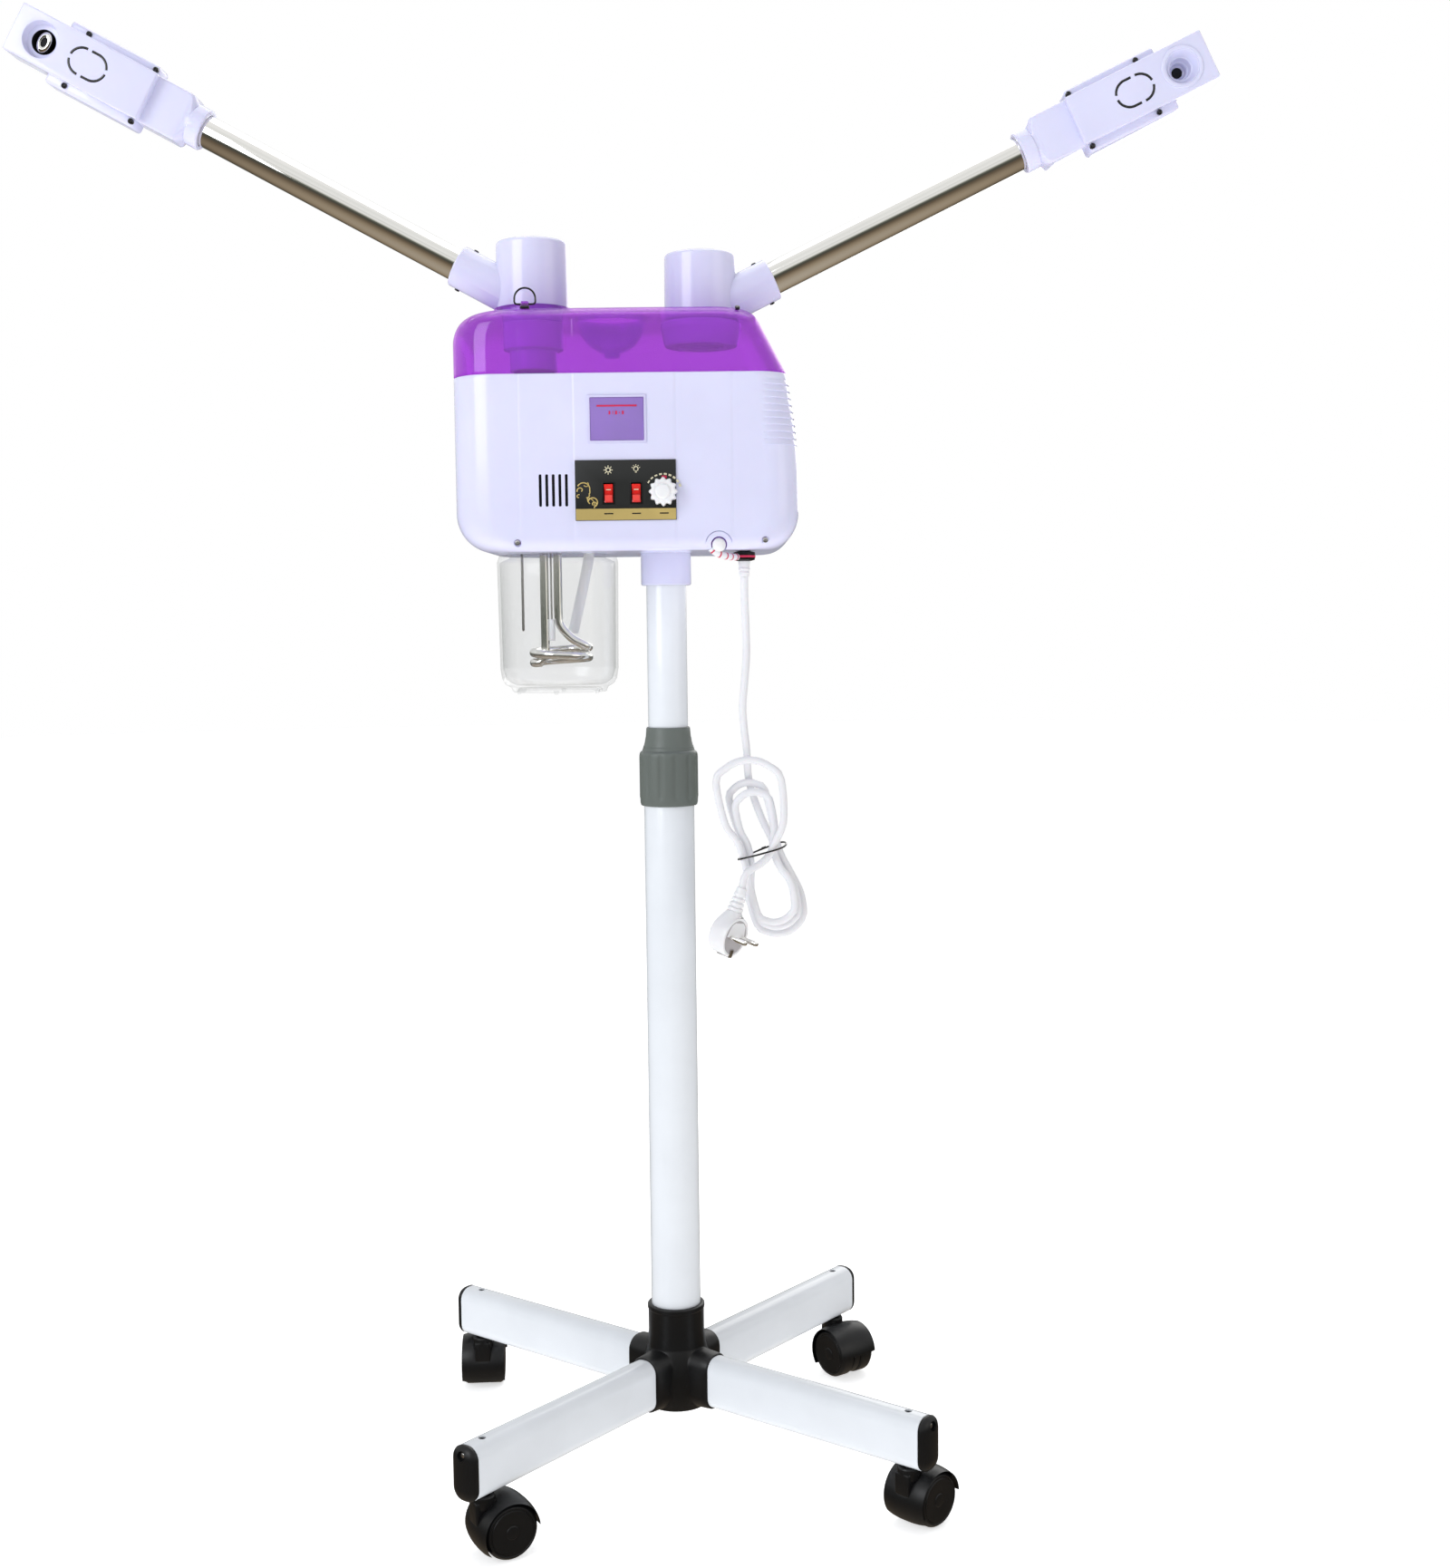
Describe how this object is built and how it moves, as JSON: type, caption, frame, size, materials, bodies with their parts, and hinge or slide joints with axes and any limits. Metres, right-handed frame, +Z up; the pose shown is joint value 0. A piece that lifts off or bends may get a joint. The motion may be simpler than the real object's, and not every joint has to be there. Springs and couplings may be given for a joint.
{
  "type": "facial steamer",
  "caption": "Facial steamer on a wheeled, height-adjustable stand: a lidded boiler head with a glass jar, and swinging arms that end in twisting steam nozzle heads.",
  "frame": {"origin": "on the floor, under the middle of the object's outline without its cord", "axes": "+Z up, -Y the side of the controls, +X to the right as seen from the controls"},
  "size_m": [1.1198, 0.4796, 1.3914],
  "materials": {
    "white_paint": "glossy white powder coat",
    "black_plastic": "fine satin black",
    "grey_plastic": "satin dark grey",
    "lilac_plastic": "glossy lavender white",
    "purple_clear": "clear purple acrylic",
    "clear_glass": "clear polished glass",
    "clear_plastic": "clear moulded plastic",
    "chrome": "bright chrome",
    "steel": "plain steel",
    "panel_black": "glossy black with gold print",
    "switch_red": "translucent red",
    "white_plastic": "glossy white",
    "nylon": "natural nylon"
  },
  "bodies": {
    "base": {"base_hub": "black_plastic", "leg_front_right": "white_paint", "leg_rear_right": "white_paint", "leg_rear_left": "white_paint", "leg_front_left": "white_paint", "leg_cap_front_right": "black_plastic", "leg_cap_rear_right": "black_plastic", "leg_cap_rear_left": "black_plastic", "leg_cap_front_left": "black_plastic", "lower_tube": "white_paint", "clamp_bush": "nylon"},
    "collar": {"clamp_collar": "grey_plastic"},
    "mast": {"upper_tube": "white_paint"},
    "head": {"mast_socket": "lilac_plastic", "casing": "lilac_plastic", "lid": "purple_clear", "boiler_head": "nylon", "heater_coil": "chrome", "level_probe": "steel", "feed_hose": "white_plastic", "fill_bowl": "purple_clear", "water_tank": "clear_plastic", "tank_window": "purple_clear", "control_panel": "panel_black", "cord_gland": "black_plastic", "cord_lead": "white_plastic", "cord_hank": "white_plastic", "plug": "white_plastic"},
    "bail": {"neck_bail": "black_plastic"},
    "glass_jar": {"jar": "clear_glass"},
    "drain": {"drain_plug": "white_plastic"},
    "left_rocker": {"rocker_left": "switch_red"},
    "right_rocker": {"rocker_right": "switch_red"},
    "knob": {"timer_knob": "white_plastic"},
    "left_arm": {"left_column": "lilac_plastic", "left_arm_tube": "chrome"},
    "left_head": {"left_head_plate": "lilac_plastic", "left_head_case": "lilac_plastic", "left_nozzle": "chrome"},
    "right_arm": {"right_column": "lilac_plastic", "right_arm_tube": "chrome"},
    "right_head": {"right_head_plate": "lilac_plastic", "right_head_case": "lilac_plastic", "right_nozzle": "lilac_plastic"},
    "caster_front_right": {"caster_housing_front_right": "black_plastic", "caster_axle_front_right": "steel"},
    "wheel_front_right_a": {"caster_wheel_front_right_a": "black_plastic"},
    "wheel_front_right_b": {"caster_wheel_front_right_b": "black_plastic"},
    "caster_rear_right": {"caster_housing_rear_right": "black_plastic", "caster_axle_rear_right": "steel"},
    "wheel_rear_right_a": {"caster_wheel_rear_right_a": "black_plastic"},
    "wheel_rear_right_b": {"caster_wheel_rear_right_b": "black_plastic"},
    "caster_rear_left": {"caster_housing_rear_left": "black_plastic", "caster_axle_rear_left": "steel"},
    "wheel_rear_left_a": {"caster_wheel_rear_left_a": "black_plastic"},
    "wheel_rear_left_b": {"caster_wheel_rear_left_b": "black_plastic"},
    "caster_front_left": {"caster_housing_front_left": "black_plastic", "caster_axle_front_left": "steel"},
    "wheel_front_left_a": {"caster_wheel_front_left_a": "black_plastic"},
    "wheel_front_left_b": {"caster_wheel_front_left_b": "black_plastic"}
  },
  "joints": [
    {"name": "mast_slide", "type": "slide", "parent": "base", "child": "mast", "axis": [0, 0, 1], "range_m": [-0.12, 0.2]},
    {"name": "collar_turn", "type": "hinge", "parent": "base", "child": "collar", "pos_m": [0.04247, 0, 0.68], "axis": [0, 0, 1], "range_deg": [0, 180]},
    {"name": "head_swivel", "type": "hinge", "parent": "mast", "child": "head", "pos_m": [0.04247, 0, 0.89], "axis": [0, 0, 1], "continuous": true},
    {"name": "bail_flip", "type": "hinge", "parent": "head", "child": "bail", "pos_m": [-0.07953, -0.076, 1.1058], "axis": [1, 0, 0], "range_deg": [-85, 85]},
    {"name": "jar_turn", "type": "hinge", "parent": "head", "child": "glass_jar", "pos_m": [-0.06053, 0, 0.83], "axis": [0, 0, 1], "range_deg": [0, 90]},
    {"name": "drain_turn", "type": "hinge", "parent": "head", "child": "drain", "pos_m": [0.09347, -0.083, 0.8875], "axis": [0, -1, 0], "range_deg": [0, 180]},
    {"name": "left_rocker_tilt", "type": "hinge", "parent": "head", "child": "left_rocker", "pos_m": [-0.00553, -0.0948, 0.9345], "axis": [1, 0, 0], "range_deg": [-14, 0]},
    {"name": "right_rocker_tilt", "type": "hinge", "parent": "head", "child": "right_rocker", "pos_m": [0.01947, -0.0948, 0.9345], "axis": [1, 0, 0], "range_deg": [-14, 0]},
    {"name": "timer_turn", "type": "hinge", "parent": "head", "child": "knob", "pos_m": [0.04397, -0.0968, 0.935], "axis": [0, 1, 0], "range_deg": [0, 300]},
    {"name": "left_arm_swing", "type": "hinge", "parent": "head", "child": "left_arm", "pos_m": [-0.07953, 0, 1.1162], "axis": [0, 0, 1], "range_deg": [-60, 90]},
    {"name": "left_head_twist", "type": "hinge", "parent": "left_arm", "child": "left_head", "pos_m": [-0.38184, 0, 1.28034], "axis": [-0.8788, 0, 0.4772], "range_deg": [-90, 90]},
    {"name": "right_arm_swing", "type": "hinge", "parent": "head", "child": "right_arm", "pos_m": [0.07847, 0, 1.1059], "axis": [0, 0, 1], "range_deg": [-90, 60]},
    {"name": "right_head_twist", "type": "hinge", "parent": "right_arm", "child": "right_head", "pos_m": [0.37873, 0, 1.25105], "axis": [0.9003, 0, 0.4352], "range_deg": [-90, 90]},
    {"name": "front_right_swivel", "type": "hinge", "parent": "base", "child": "caster_front_right", "pos_m": [0.25513, -0.16555, 0.06], "axis": [0, 0, 1], "continuous": true},
    {"name": "front_right_wheel_a_spin", "type": "hinge", "parent": "caster_front_right", "child": "wheel_front_right_a", "pos_m": [0.26786, -0.15282, 0.025], "axis": [-0.7071, 0.7071, 0], "continuous": true},
    {"name": "front_right_wheel_b_spin", "type": "hinge", "parent": "caster_front_right", "child": "wheel_front_right_b", "pos_m": [0.26786, -0.15282, 0.025], "axis": [-0.7071, 0.7071, 0], "continuous": true},
    {"name": "rear_right_swivel", "type": "hinge", "parent": "base", "child": "caster_rear_right", "pos_m": [0.20802, 0.21266, 0.06], "axis": [0, 0, 1], "continuous": true},
    {"name": "rear_right_wheel_a_spin", "type": "hinge", "parent": "caster_rear_right", "child": "wheel_rear_right_a", "pos_m": [0.2186, 0.1981, 0.025], "axis": [0.809, 0.5878, 0], "continuous": true},
    {"name": "rear_right_wheel_b_spin", "type": "hinge", "parent": "caster_rear_right", "child": "wheel_rear_right_b", "pos_m": [0.2186, 0.1981, 0.025], "axis": [0.809, 0.5878, 0], "continuous": true},
    {"name": "rear_left_swivel", "type": "hinge", "parent": "base", "child": "caster_rear_left", "pos_m": [-0.17019, 0.16555, 0.06], "axis": [0, 0, 1], "continuous": true},
    {"name": "rear_left_wheel_a_spin", "type": "hinge", "parent": "caster_rear_left", "child": "wheel_rear_left_a", "pos_m": [-0.17113, 0.18353, 0.025], "axis": [-0.9986, -0.0523, 0], "continuous": true},
    {"name": "rear_left_wheel_b_spin", "type": "hinge", "parent": "caster_rear_left", "child": "wheel_rear_left_b", "pos_m": [-0.17113, 0.18353, 0.025], "axis": [-0.9986, -0.0523, 0], "continuous": true},
    {"name": "front_left_swivel", "type": "hinge", "parent": "base", "child": "caster_front_left", "pos_m": [-0.12308, -0.21266, 0.06], "axis": [0, 0, 1], "continuous": true},
    {"name": "front_left_wheel_a_spin", "type": "hinge", "parent": "caster_front_left", "child": "wheel_front_left_a", "pos_m": [-0.10765, -0.20339, 0.025], "axis": [-0.515, 0.8572, 0], "continuous": true},
    {"name": "front_left_wheel_b_spin", "type": "hinge", "parent": "caster_front_left", "child": "wheel_front_left_b", "pos_m": [-0.10765, -0.20339, 0.025], "axis": [-0.515, 0.8572, 0], "continuous": true}
  ]
}
